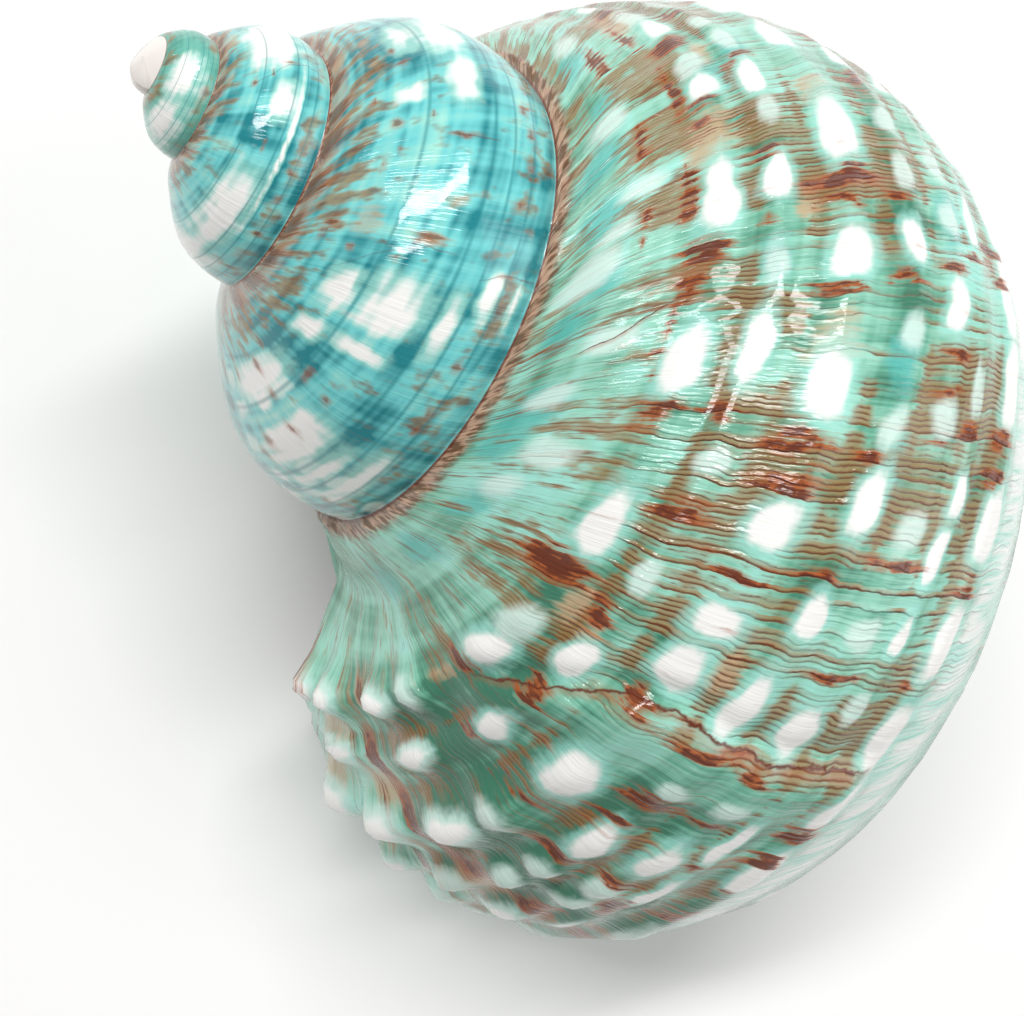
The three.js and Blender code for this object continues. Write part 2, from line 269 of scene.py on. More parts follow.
# Healed breaks and growth cracks: place across and growth line of points along each, then
# the height of the ledge in mm and the half width of the dark line in degrees.
SCARS = (
    (((0.33, 71.3), (0.39, 67.4), (0.44, 64.1), (0.49, 61.7), (0.54, 59.6), (0.60, 58.9),
      (0.65, 59.8), (0.69, 60.5), (0.77, 61.2), (0.84, 61.2), (0.98, 61.6)), 0.9, 1.0),
    (((0.12, 14.6), (0.14, 13.9), (0.18, 13.5), (0.22, 11.1), (0.25, 9.1), (0.28, 8.0)), 0.2, 0.8),
    (((0.28, -317.0), (0.38, -322.3), (0.47, -324.7), (0.56, -326.8), (0.66, -326.9)), 0.16, 0.8),
    (((0.77, -322.2), (0.84, -324.0), (0.92, -323.9), (0.99, -323.2)), 0.16, 1.1),
    (((0.55, -355.6), (0.62, -355.9), (0.71, -355.6)), 0.12, 1.1),
    (((0.30, -714.0), (0.50, -721.0), (0.60, -726.7), (0.75, -728.0), (0.97, -723.0)), 0.1, 1.6),
)


def scar_lines(theta, t):
    """Each scar's distance along the growth, how present it is, its ledge and line width."""
    for points, ledge, width in SCARS:
        places = [point[0] for point in points]
        path = np.interp(t, places, [point[1] for point in points])
        there = smooth(t, places[0] - 0.02, places[0] + 0.04) * (
            1 - smooth(t, places[-1] - 0.04, places[-1] + 0.02))
        yield theta - path - 0.6 * drift(t * 15.0, SEED + 4), there, ledge, width


def smooth(x, low, high):
    """0 below low, 1 above high and an even S between them."""
    s = np.clip((x - low) / (high - low), 0.0, 1.0)
    return s * s * (3.0 - 2.0 * s)


def hump(x, width):
    """A bell of height 1."""
    return np.exp(-((x / width) ** 2))


def drift(x, seed):
    """Smooth random wander along a line, from -1 to 1."""
    count = 8192
    steps = np.random.RandomState(seed).uniform(-1.0, 1.0, count)
    cell = np.floor(x)
    share = x - cell
    share = share * share * (3.0 - 2.0 * share)
    index = cell.astype(int)
    return steps[index % count] * (1.0 - share) + steps[(index + 1) % count] * share


def field(x, y, seed):
    """Smooth random wander over a plane, from -1 to 1."""
    side = 256
    table = np.random.RandomState(seed).uniform(-1.0, 1.0, (side, side))
    i, j = np.floor(x), np.floor(y)
    a, b = x - i, y - j
    a, b = a * a * (3.0 - 2.0 * a), b * b * (3.0 - 2.0 * b)
    i, j = i.astype(int) % side, j.astype(int) % side
    right, above = (i + 1) % side, (j + 1) % side
    low = table[i, j] * (1 - a) + table[right, j] * a
    high = table[i, above] * (1 - a) + table[right, above] * a
    return low * (1 - b) + high * b


def spline(points, place, closed=False):
    """Points on a smooth curve through the given ones; place counts from one to the next."""
    points = np.asarray(points, float)
    count = len(points)
    place = np.asarray(place, float)
    if closed:
        place = place % count
    start = np.clip(np.floor(place).astype(int), 0, count - 1 if closed else count - 2)
    share = (place - start)[:, None]

    def pick(index):
        return points[index % count if closed else np.clip(index, 0, count - 1)]

    before, here, there, after = (pick(start + k) for k in (-1, 0, 1, 2))
    pull, push = (there - before) / 2, (after - here) / 2
    return (((2 * here - 2 * there + pull + push) * share
             + (3 * there - 3 * here - 2 * pull - push)) * share + pull) * share + here


def lean(t):
    """Degrees that a growth line lags behind its start at the suture."""
    ramp = (1 - np.exp(-t / RAMP_SHARE)) / (1 - math.exp(-1 / RAMP_SHARE))
    return LEAN_EVEN * t + LEAN_RAMP * ramp


def recede(theta, t, lip):
    """Growth lines near the lip, which draws back where the ramp and the shoulder meet it."""
    draw_back = LIP_RECESS * smooth(t, 0.0, 0.08) * (1 - smooth(t, 0.3, 0.52))
    return theta - draw_back * smooth(theta, lip - 75.0, lip)


class Whorl:
    """The growing tube: places on its surface by growth line, in degrees, and across it."""

    def __init__(self, form):
        self.form = form
        self.growth = math.log(form.turn_factor) / 360.0
        suture = (form.suture_radius, form.suture_depth)
        lower = (suture[0] * form.turn_factor, suture[1] * form.turn_factor)
        points = (suture, *OUTLINE_START, lower, *OUTLINE_BASE)
        place = np.linspace(0, len(points) - 1, 4001)
        curve = spline(points, place)
        run = np.concatenate([[0], np.cumsum(np.hypot(*np.diff(curve, axis=0).T))])
        whole = np.interp(3, place, run)
        self.run, self.curve = run / whole, curve
        self.end = float(self.run[-1])
        self.nodules = list(spare_blotches(WHITE_ROWS))

    def outline(self, t):
        """Radius, depth and the outward direction of the outline."""
        def at(place):
            return [np.interp(place, self.run, self.curve[:, k]) for k in (0, 1)]

        step = 2e-3
        ahead, behind = at(t + step), at(t - step)
        dr, dd = ahead[0] - behind[0], ahead[1] - behind[1]
        size = np.hypot(dr, dd)
        return *at(t), dd / size, -dr / size

    def place(self, phi, r, depth):
        """A point at an angle round the axis, from its size at growth angle 0."""
        size = np.exp(self.growth * phi)
        turn = np.radians(phi)
        return np.stack([r * size * np.cos(turn), -r * size * np.sin(turn), -depth * size], -1)

    def relief(self, theta, t):
        """Height of ridges, nodules and growth marks above the plain whorl, in mm."""
        form = self.form
        phi = theta - lean(t)
        late = smooth(phi, 6.0, 86.0)
        body = smooth(phi, -260.0, -86.0)
        lift = -form.ramp_hollow * late * hump(t - RAMP_AT, RAMP_WIDTH)
        for across, _, _, _ in WHITE_ROWS:
            lift = lift + form.cord_height * (0.15 + 0.85 * body) * (
                0.55 + 0.45 * late) * hump(t - across, CORD_WIDTH)
        for angle, across, length, height, knob in self.nodules:
            near = np.abs(phi - angle) < 4 * length
            if angle < NODULES_FROM or not near.any():
                continue
            rise = knob * form.nodule_height * float(
                smooth(np.array(angle), 5.0, 70.0) * (1 - 0.8 * smooth(np.array(angle), 84.0, 92.0)))
            away = theta[near] - angle - float(lean(np.array(across)))
            lift[near] += rise * hump(away, length * 1.05) * hump(t[near] - across, height * 1.35)
        ridge = drift(theta / 1.9, SEED) * 0.5 + drift(theta / 4.3, SEED + 1) * 0.5
        broad = drift(theta / 11.0, SEED + 2)
        wavy = field(theta / 9.0, t * 9.0, SEED + 3)
        lift = lift + form.growth_ridges * (0.1 + 0.9 * body) * (
            ridge * (0.5 + 0.5 * wavy) + 0.7 * broad * (0.3 + 0.7 * late)) * smooth(t, 0.0, 0.05)
        for scar, there, ledge, _ in scar_lines(theta, t):
            lift = lift + there * ledge * (
                smooth(scar, -2.0, 2.0) * (1 - smooth(scar, 2.0, 11.0)) - 0.3 * hump(scar + 2.2, 1.4))
        crinkle = 0.5 + 0.5 * drift(theta / 2.6, SEED + 5)
        lift = lift + 0.6 * body * crinkle * hump(t - 0.022, 0.014)
        lift = lift + 0.1 * body * field(theta / 15.0, t * 5.0, SEED + 6)
        return lift

    def skin(self, theta, t):
        """Points on the finished outer surface."""
        r, depth, out_r, out_depth = self.outline(np.minimum(t, self.end))
        # The last turn has no whorl below it, so its relief runs on over the line of the suture.
        bare = smooth(theta, self.form.lip_angle - 312.0, self.form.lip_angle - 290.0)
        edge = smooth(t, 0.0, 0.014) * np.maximum(smooth(np.abs(t - 1.0), 0.0, 0.014), bare)
        fade = 1.0 - smooth(t, 1.05, 1.5)
        lift = self.relief(theta, t) * edge * fade
        points = self.place(theta - lean(t), r + lift * out_r, depth + lift * out_depth)
        return self.fair(points, t)

    def fair(self, points, t):
        """Draws the base down to the tip of the pillar."""
        around = np.hypot(points[..., 0], points[..., 1])
        pillar = np.interp(around, [p[0] for p in PILLAR], [p[1] for p in PILLAR])
        depth = -points[..., 2]
        soft = 2.5
        lower = (depth + pillar + np.sqrt((depth - pillar) ** 2 + soft**2)) / 2
        share = smooth(t, 1.0, 1.12)
        faired = points.copy()
        faired[..., 2] = -(depth * (1 - share) + lower * share)
        end = smooth(t, self.end - 0.02, self.end)
        tip = np.array([0.0, 0.0, -PILLAR[0][1]])
        return faired * (1 - end[..., None]) + tip * end[..., None]

    def hollow(self, theta, share, flare):
        """Points on the wall of the hollow."""
        at = spline(HOLLOW, np.asarray(share) * len(HOLLOW), closed=True)
        r = HOLLOW_MIDDLE[0] + (at[:, 0] - HOLLOW_MIDDLE[0]) * flare
        depth = HOLLOW_MIDDLE[1] + (at[:, 1] - HOLLOW_MIDDLE[1]) * flare
        return self.place(theta - at[:, 2], r, depth)


def spare_blotches(rows):
    """Every blotch of the body whorl: the ones listed, and more round the back."""
    draw = np.random.RandomState(SEED + 7)
    for across, height, knob, blotches in rows:
        angles = [b[0] for b in blotches]
        for angle, length, _ in blotches:
            yield angle, across, length, height, knob
        for start, stop, way in ((max(angles), 150.0, 1.0), (min(angles), -300.0, -1.0)):
            angle = start
            while (angle - stop) * way < 0:
                angle += way * draw.uniform(11.0, 21.0)
                yield angle, across, draw.uniform(2.4, 4.6), height, knob


def marking_fields(theta, t):
    """How far inside the markings each place lies, and how dark and ridged it is."""
    phi = theta - lean(t)
    body = smooth(phi, -250.0, -110.0)
    layers = {name: np.full(theta.shape, -1.0) for name in ("white", "pale", "brown", "sand", "blue")}
    draw = np.random.RandomState(SEED + 8)

    bent = theta + 1.1 * field(theta / 3.2, t * 21.0, SEED + 17)
    shifted = t + 0.009 * field(theta / 3.0 + 9.0, t * 23.0, SEED + 18)

    def stamp(name, angle, across, length, height, depth, square, tail=1.0):
        """Adds a mark; square sets its corners, and tail draws out its older end."""
        gap = (bent - angle - float(lean(np.array(across)))) / length
        away = np.where(gap < 0, -gap / tail, gap)
        near = np.nonzero(away < STAMP_REACH)[0]
        taper = 1.0 - 0.36 * (tail - 1.0) * np.clip(-gap[near] / tail, 0.0, 1.0)
        off = np.abs(shifted[near] - across) / (height * taper)
        inside = 1.0 - (away[near] ** square + off**square) ** (1.0 / square)
        layer = layers[name]
        layer[near] = np.maximum(layer[near], inside + (depth - 1.0) * 0.55)

    tones = {}
    for across, _, _, blotches in WHITE_ROWS:
        for angle, _, tone in blotches:
            tones[(angle, across)] = tone
    for angle, across, length, height, _ in spare_blotches(WHITE_ROWS):
        tone = tones.get((angle, across), draw.uniform(0.6, 1.1))
        if tone < WHITE_FROM or angle > NODULE_BLOTCHES_FROM:
            stamp("pale", angle, across, length, height, 1.0, 2.4)
        if tone >= WHITE_FROM:
            small = 0.62 if angle > NODULE_BLOTCHES_FROM else 1.0
            stamp("white", angle, across, length * small * 0.86, height * small, 1.0, OBLONG, 1.5)
        if (angle, across) not in tones and draw.uniform() < 0.75:
            stamp("brown", angle + length + draw.uniform(1.0, 3.0), across - 0.01,
                  draw.uniform(0.8, 2.0), height, draw.uniform(0.6, 1.0), RAGGED)
    for angle, across, length, height in WHITE_BLOCKS:
        stamp("white", angle, across, length * 1.25, height, 1.0, SQUARE)
    for turn in range(3):
        back = 360.0 * turn
        for angle in np.arange(-580.0 - back, -448.0 - back, 9.0):
            stamp("white", angle + draw.uniform(-4, 4), draw.uniform(0.3, 0.9),
                  draw.uniform(3, 8), draw.uniform(0.03, 0.1), draw.uniform(0.6, 1), SQUARE)
            stamp("brown", angle + draw.uniform(-4, 4), draw.uniform(0.15, 0.9),
                  draw.uniform(1, 3), draw.uniform(0.012, 0.05), draw.uniform(0.5, 1), RAGGED)
    for angle in np.arange(-1000.0, -226.0, FLAME_STEP):
        wide = draw.uniform(4.2, 6.2)
        stamp("brown", angle + draw.uniform(-2, 2), 0.026, wide, draw.uniform(0.045, 0.07), 1.6,
              ROUND)
        stamp("sand", angle + FLAME_STEP / 2, 0.03, 7.0, 0.06, 1.0, SQUARE)
    for angle, across, length, height, depth in BROWN_MARKS:
        stroke = STROKE if angle > -250 and across > 0.28 else 1.0
        stamp("brown", angle, across, length * stroke, height / stroke**0.4, depth, RAGGED)
    # The pale marks hold one painted highlight on the ramp.
    for name, marks in (("sand", SAND_MARKS), ("pale", PALE_AND_HIGHLIGHT_MARKS), ("blue", BLUE_MARKS)):
        for mark in marks:
            stamp(name, *mark, ROUND)
    crack, mend = np.full(theta.shape, 4.0), np.zeros(theta.shape)
    for scar, there, _, width in scar_lines(theta, t):
        off = np.clip((scar + 0.4) / width, -4.0, 4.0)
        nearer = (there > 0) & (np.abs(off) < np.abs(crack))
        crack = np.where(nearer, off, crack)
        mend = np.where(nearer, there * (1 - smooth(np.abs(off), 1.5, 2.5)), mend)
    layers["crack"] = crack
    layers["mend"] = mend

    between = sum(amount * hump(t - place, width) for place, width, amount in BROWN_LINES)
    along = smooth(field(theta / 6.0, t * 9.0, SEED + 9), -0.35, 0.45)
    broad = smooth(field(theta / 10.0, t * 5.0, SEED + 10), -0.3, 0.5) * (
        1.0 - 0.4 * smooth(phi, -5.0, 25.0))
    ramp = hump(t - 0.27, 0.06) + 0.7 * hump(t - 0.05, 0.03) + 0.6 * hump(t - 0.16, 0.07)
    streaks = smooth(field(theta / 3.4, t * 5.0, SEED + 11), -0.45, 0.6) * (
        1.25 - 0.6 * smooth(phi, -35.0, -15.0))
    wash = body * (between * along * smooth(t, 0.3, 0.34) + 0.75 * broad * smooth(t, 0.3, 0.36)
                   + ramp * streaks * (1 - smooth(t, 0.3, 0.33))
                   + 0.95 * hump(phi + 21.0, 24.0) * hump(t - 0.43, 0.11) * along)
    flecks = 0.75 + 0.25 * field(theta / 9.0, t * 6.0, SEED + 12)
    flecks *= 0.08 + 0.75 * hump(t - 0.14, 0.13) + 0.6 * hump(t - 0.88, 0.08)
    # Less wash towards the lip, so the lip comes out lighter: painted light on the lip.
    wash = wash * (1 - 0.6 * smooth(phi, 58.0, 75.0)) + (1 - body) * flecks
    layers["wash"] = np.minimum(wash, 1.0) * (
        1 - smooth(t, 0.97, 1.02) * (1 - smooth(t, 1.12, 1.2)))
    # Tone: random lighter and darker variation. It adds painted shade on the body whorl below the
    # ramp from about 12 degrees on, and low on the penultimate whorl. It adds painted light on the
    # ramp and near the lip.
    layers["tone"] = (0.5 * field(theta / 14.0, t * 6.0, SEED + 13)
                      + 0.5 * field(theta / 5.0, t * 11.0, SEED + 14)
                      + 0.5 * drift(t * 34.0, SEED + 15) - 1.7 * smooth(t, 0.22, 0.4) * (
                          smooth(phi, 12.0, 50.0) - 1.25 * smooth(phi, 56.0, 74.0))
                      + 0.5 * hump(t - 0.14, 0.09) * body * (1 - smooth(phi, 15.0, 50.0))
                      - 0.6 * smooth(t, 0.55, 0.8) * hump(phi + 325.0, 40.0))
    layers["crisp"] = body * (0.35 + 0.65 * smooth(t, 0.24, 0.36)) * (
        1 - 0.75 * smooth(phi, 2.0, 34.0) - 0.18 * smooth(phi, 55.0, 75.0)) * (
        0.45 + 0.55 * smooth(field(theta / 6.0, t * 8.0, SEED + 16), -0.5, 0.5)) * (
        1 - 0.6 * smooth(t, 1.0, 1.1)) * (1 - 0.95 * smooth(layers["white"], -0.15, 0.2))
    return layers


def rgb(code):
    """A linear colour from an sRGB code."""
    parts = [int(code[i:i + 2], 16) / 255.0 for i in (1, 3, 5)]
    return tuple(
        p / 12.92 if p <= 0.04045 else ((p + 0.055) / 1.055) ** 2.4 for p in parts)


class Value:
    """A socket that takes part in arithmetic."""

    def __init__(self, paint, socket):
        self.paint = paint
        self.socket = socket

    def _math(self, operation, first, second):
        return self.paint.node("ShaderNodeMath", {"operation": operation}, {0: first, 1: second})

    def __add__(self, other):
        return self._math("ADD", self, other)

    def __radd__(self, other):
        return self._math("ADD", other, self)

    def __sub__(self, other):
        return self._math("SUBTRACT", self, other)

    def __rsub__(self, other):
        return self._math("SUBTRACT", other, self)

    def __mul__(self, other):
        return self._math("MULTIPLY", self, other)

    def __rmul__(self, other):
        return self._math("MULTIPLY", other, self)


class Paint:
    """One material and the nodes that colour it."""

    def __init__(self, name):
        self.material = bpy.data.materials.new(name)
        self.material.use_nodes = True
        self.tree = self.material.node_tree
        self.tree.nodes.clear()

    def node(self, kind, settings, inputs, output=0):
        """Adds a node, sets it up, then fills its sockets with values or links."""
        made = self.tree.nodes.new(kind)
        for name, value in settings.items():
            if name == "stops":
                ramp = made.color_ramp
                while len(ramp.elements) < len(value):
                    ramp.elements.new(0.5)
                for element, (place, colour) in zip(ramp.elements, value):
                    element.position = place
                    element.color = (*colour, 1.0)
            else:
                setattr(made, name, value)
        for name, value in inputs.items():
            socket = made.inputs[name]
            if isinstance(value, Value):
                self.tree.links.new(value.socket, socket)
            elif socket.type == "RGBA":
                socket.default_value = (*value, 1.0)
            else:
                socket.default_value = value
        return Value(self, made.outputs[output]) if made.outputs else None

    def step(self, value, low, high):
        """0 to 1 in an even S as value goes from low to high."""
        return self.node("ShaderNodeMapRange", {"interpolation_type": "SMOOTHSTEP"}, {
            0: value, 1: low, 2: high, 3: 0.0, 4: 1.0})

    def blend(self, share, first, second):
        """A mix of two colours."""
        return self.node("ShaderNodeMix", {"data_type": "RGBA"}, {0: share, 6: first, 7: second},
                         output=2)

    def noise(self, x, y, z, detail=2.0, rough=0.55):
        """Fine random cloud over three values, around a half."""
        spot = self.node("ShaderNodeCombineXYZ", {}, {0: x, 1: y, 2: z})
        return self.node("ShaderNodeTexNoise", {}, {
            "Vector": spot, "Scale": 1.0, "Detail": detail, "Roughness": rough})

    def band(self, value, middle, width):
        """1 in a narrow band round a value, fading to both sides."""
        off = self.node("ShaderNodeMath", {"operation": "ABSOLUTE"}, {0: value - middle})
        return 1.0 - self.step(off, 0.0, width)


def paint_shell(colours):
    """The polished outside, with its markings, and the pearly hollow."""
    p = Paint("polished_shell")
    uv = p.node("ShaderNodeUVMap", {"uv_map": "growth"}, {})
    u = p.node("ShaderNodeSeparateXYZ", {}, {0: uv}, output=0)
    v = p.node("ShaderNodeSeparateXYZ", {}, {0: uv}, output=1)

    def layer(name):
        return p.node("ShaderNodeAttribute", {"attribute_name": name}, {}, output=2)

    white, pale, brown, sand, blue = (
        layer(n) for n in ("white", "pale", "brown", "sand", "blue"))
    wash, tone, crisp, crack, mend, pearl = (
        layer(n) for n in ("wash", "tone", "crisp", "crack", "mend", "pearl"))
    size = p.node("ShaderNodeMath", {"operation": "POWER"}, {0: TURN_FACTOR, 1: u})
    along, across = size * NOISE_ALONG, v * size * NOISE_ACROSS
    streak = p.noise(along * 0.5, across * 0.06, 11.0) - 0.5
    fine = p.noise(along * 2.6, across * 0.16, 17.0) - 0.5
    grain = p.noise(along * 1.1, across * 0.9, 23.0) - 0.5
    spiral = p.noise(along * 0.05, across * 0.8, 29.0, detail=1.0) - 0.5
    tweed = p.noise(along * 0.75, across * 0.38, 53.0, rough=0.6) - 0.5
    wobble = p.noise(u * 30.0, v * 12.6, 41.0, rough=0.4)
    body = p.step(u, -0.70, -0.25)
    edge = grain * 0.4 + streak * 0.6

    count = u * THREADS_PER_TURN + wobble * 3.4 + grain * 0.6
    phase = p.node("ShaderNodeMath", {"operation": "FRACT"}, {0: count})
    number = p.node("ShaderNodeMath", {"operation": "FLOOR"}, {0: count})
    chance = p.node("ShaderNodeTexWhiteNoise", {"noise_dimensions": "1D"}, {"W": number}) - 0.5
    thread = p.step(phase, 0.3, 0.75) * (1.0 - p.step(phase, 0.8, 1.0))

    # The tone layer brings its painted shade and painted light into the spire's colour here.
    plaid = tone * 0.35 + streak * 1.5 + spiral * 1.4
    sea = p.node("ShaderNodeValToRGB", {"stops": (
        (0.0, colours.spire_deep), (0.45, colours.spire), (1.0, colours.mint))}, {
            0: plaid + 0.36})
    sea = p.blend(p.step(0.0 - u, 2.25, 2.7) * 0.7, sea, colours.body_deep)
    # The tone layer brings its painted shade and painted light into the body whorl's green here.
    leaf = p.node("ShaderNodeValToRGB", {"stops": (
        (0.0, colours.body_dark), (0.3, colours.body_deep), (0.65, colours.body),
        (1.0, colours.mint))}, {0: tone * 0.45 + streak * 1.1 + fine * 0.9 + spiral * 0.6 + 0.54})
    ground = p.blend(body, sea, leaf)
    ground = p.blend(p.step(blue + edge * 1.4 + tweed * 0.8, -0.3, 0.5) * 0.7, ground, colours.blue)

    ramp = 1.0 - p.step(v, 0.24, 0.34)
    veil = p.step(wash + streak * 1.1 + fine * 0.9 + (chance * 0.8) * (1.0 - ramp * 0.5)
                  + tweed * 2.0 * ramp, 0.22, 0.85) * body
    ground = p.blend(veil * 0.74, ground, colours.olive)
    flecked = p.step(tweed * 2.0 + streak * 0.5 + wash * 0.62, 0.18, 0.62) * (1.0 - body)
    ground = p.blend(flecked * 0.78, ground, p.blend(
        p.step(tweed * 1.2 + grain, 0.0, 0.4), colours.olive, colours.bark))
    sandy = p.step(sand + edge * 1.5 + fine * 1.4, -0.3, 0.5) * (0.45 + 0.35 * body)
    ground = p.blend(sandy, ground, colours.sand)
    broken = p.step(wash * 0.8 + chance * 0.9 + fine * 0.9 + grain * 1.0, 0.1, 0.55)
    rest = p.step(chance + grain * 0.12, 0.4, 0.46) * p.step(spiral + streak + wash * 0.5, -0.1, 0.3)
    ink = thread * broken * (0.35 + 0.5 * p.step(wash, 0.1, 0.6)) + thread * rest * 0.6
    ground = p.blend(ink * body * (1.0 - ramp * 0.45), ground, colours.bark)
    hair = p.step(fine + tweed * 0.4, 0.05, 0.2) * (0.12 + 0.5 * ramp) * body
    ground = p.blend(hair, ground, colours.bark)

    lines = p.band(v, 0.415, 0.014) + p.band(v, 0.685, 0.014) + p.band(v, 0.775, 0.012)
    lines = (lines + p.band(v, 0.87, 0.012)) * (1.0 - body)
    soft = 1.0 - body
    cloud = white + soft * plaid * 0.9
    halo = p.step(white + grain * 0.7, -0.65, 0.05) * 0.7
    core = p.step(cloud + grain * 0.3, -0.08 - soft * 0.27, 0.34 + soft * 0.16)
    # Pale blotches in frost; the pale layer also holds one painted highlight on the ramp.
    faint = p.step(pale + grain * 0.45 + fine * 0.1, -0.25, 0.45) * 0.8
    ground = p.blend(halo, ground, colours.mint)
    ground = p.blend(faint, ground, colours.frost)
    ground = p.blend(core, ground, colours.chalk)
    ground = p.blend(lines * 0.55, ground, colours.spire_deep)

    ragged = brown + edge * 1.5 + fine * 1.6 + chance * 0.9 * body
    ground = p.blend(p.step(ragged, -0.6, 0.0) * (0.5 - soft * 0.25), ground, colours.rust)
    dark = p.blend(p.step(ragged + thread * 0.3 * body + grain * 1.2, 0.05, 0.6), colours.rust,
                   p.blend(body, colours.bark, colours.umber))
    ground = p.blend(p.step(ragged, -0.1, 0.14 + soft * 0.4) * (0.92 - soft * 0.2), ground, dark)

    jagged = crack + grain * 1.4 + streak * 0.8
    ground = p.blend(p.band(jagged - 0.5, 0.0, 1.1) * mend * 0.35 * body, ground, colours.rust)
    split = p.band(jagged, 0.0, 0.36) * mend
    ground = p.blend(split * (0.5 + 0.45 * body), ground, colours.umber)

    # Brown and cream band along the suture: the brown is the band's own colour; the cream flecks are
    # partly its own colour and partly painted highlights on its crinkles.
    seam = 1.0 - p.step(v + grain * 0.035 + streak * 0.02, 0.008 + body * 0.014, 0.02 + body * 0.024)
    ground = p.blend(seam * 0.9, ground, p.blend(
        p.step(grain * 1.6 + fine * 0.5, -0.16, 0.2), colours.bark, colours.cream))
    # Thin dark line along the suture: partly the suture line's own dark brown, partly painted shade
    # in its deep crease.
    crease = (1.0 - p.step(v, 0.003, 0.008)) + p.band(v, 1.0, 0.006) * (1.0 - p.step(u, -0.5, -0.47))
    ground = p.blend(crease * 0.75, ground, colours.umber)

    under = p.step(v + edge * 0.08, 0.985, 1.04) * (1.0 - p.step(v + edge * 0.12, 1.09, 1.18))
    under = under + p.step(v + edge * 0.25, 1.5, 1.72)
    below = p.blend(p.step(streak + fine * 0.5, -0.12, 0.16), colours.chalk, colours.mint)
    below = p.blend(p.step(fine + streak, 0.08, 0.3) * 0.6, below, colours.body_deep)
    ground = p.blend(under * 0.9, ground, below)
    apex = 1.0 - p.step(u + grain * 0.06, -3.42, -3.34)
    ground = p.blend(p.band(u, -3.36, 0.07) * 0.7, ground, colours.olive)
    ground = p.blend(apex, ground, p.blend(0.3 + grain, colours.chalk, colours.cream))
    nacre = p.blend(p.step(tone, -0.5, 0.5), colours.pearl, colours.pearl_rose)
    ground = p.blend(pearl, ground, nacre)

    rough = colours.spire_gloss + body * (colours.body_gloss - colours.spire_gloss)
    ridge = phase * (1.0 - p.step(phase, 0.6, 1.0)) * crisp * (0.7 + chance * 1.7)
    height = ridge * 0.75 + fine * 0.36
    glint = p.step(phase + streak * 1.2 + chance * 0.6, 0.35, 0.75) * (0.3 + 0.7 * crisp)
    coat = 0.45 - body * (0.37 - 0.55 * glint)
    bump = p.node("ShaderNodeBump", {}, {
        "Strength": 0.9, "Distance": THREAD_HEIGHT * MM, "Height": height})
    shader = p.node("ShaderNodeBsdfPrincipled", {}, {
        "Base Color": ground, "Roughness": rough, "Normal": bump, "IOR": 1.5,
        "Specular IOR Level": 0.36, "Coat Weight": coat, "Coat Roughness": 0.05})
    p.node("ShaderNodeOutputMaterial", {}, {"Surface": shader})
    return p.material


def new_part():
    """An empty mesh with the layers of the shell."""
    bm = bmesh.new()
    bm.loops.layers.uv.new("growth")
    bm.verts.layers.float.new("pearl")
    return bm


def join_part(bm, part):
    """Moves a part into the shell's mesh."""
    mesh = bpy.data.meshes.new("part")
    part.to_mesh(mesh)
    part.free()
    bm.from_mesh(mesh)
    bpy.data.meshes.remove(mesh)


def grown_grid(bm, whorl, first, last, step, low, high, rows, halved_from):
    """A grid bent onto the whorl between two growth lines and two places across it.

    Its lower edge has twice the points from one growth line on, to meet a finer part.
    """
    columns = int(round((last - first) / step))
    part = new_part()
    bmesh.ops.create_grid(part, x_segments=columns, y_segments=rows, size=1.0)
    split = []
    for edge in part.edges:
        a, b = edge.verts
        middle = first + (a.co.x + b.co.x + 2.0) / 4.0 * (last - first)
        if a.co.y > 0.999 and b.co.y > 0.999 and middle > halved_from:
            split.append(edge)
    if split:
        bmesh.ops.subdivide_edges(part, edges=split, cuts=1)
    part.verts.index_update()
    spots = np.array([vert.co[:2] for vert in part.verts], float)
    theta = first + np.round((spots[:, 0] + 1.0) * columns) / 2.0 * step
    t = low + np.round((spots[:, 1] + 1.0) / 2.0 * rows) / rows * (high - low)
    theta = recede(theta, t, whorl.form.lip_angle)
    growth = part.loops.layers.uv["growth"]
    for face in part.faces:
        for loop in face.loops:
            i = loop.vert.index
            loop[growth].uv = (theta[i] / 360.0, t[i])
    for vert, point in zip(part.verts, whorl.skin(theta, t)):
        vert.co = point
    join_part(bm, part)


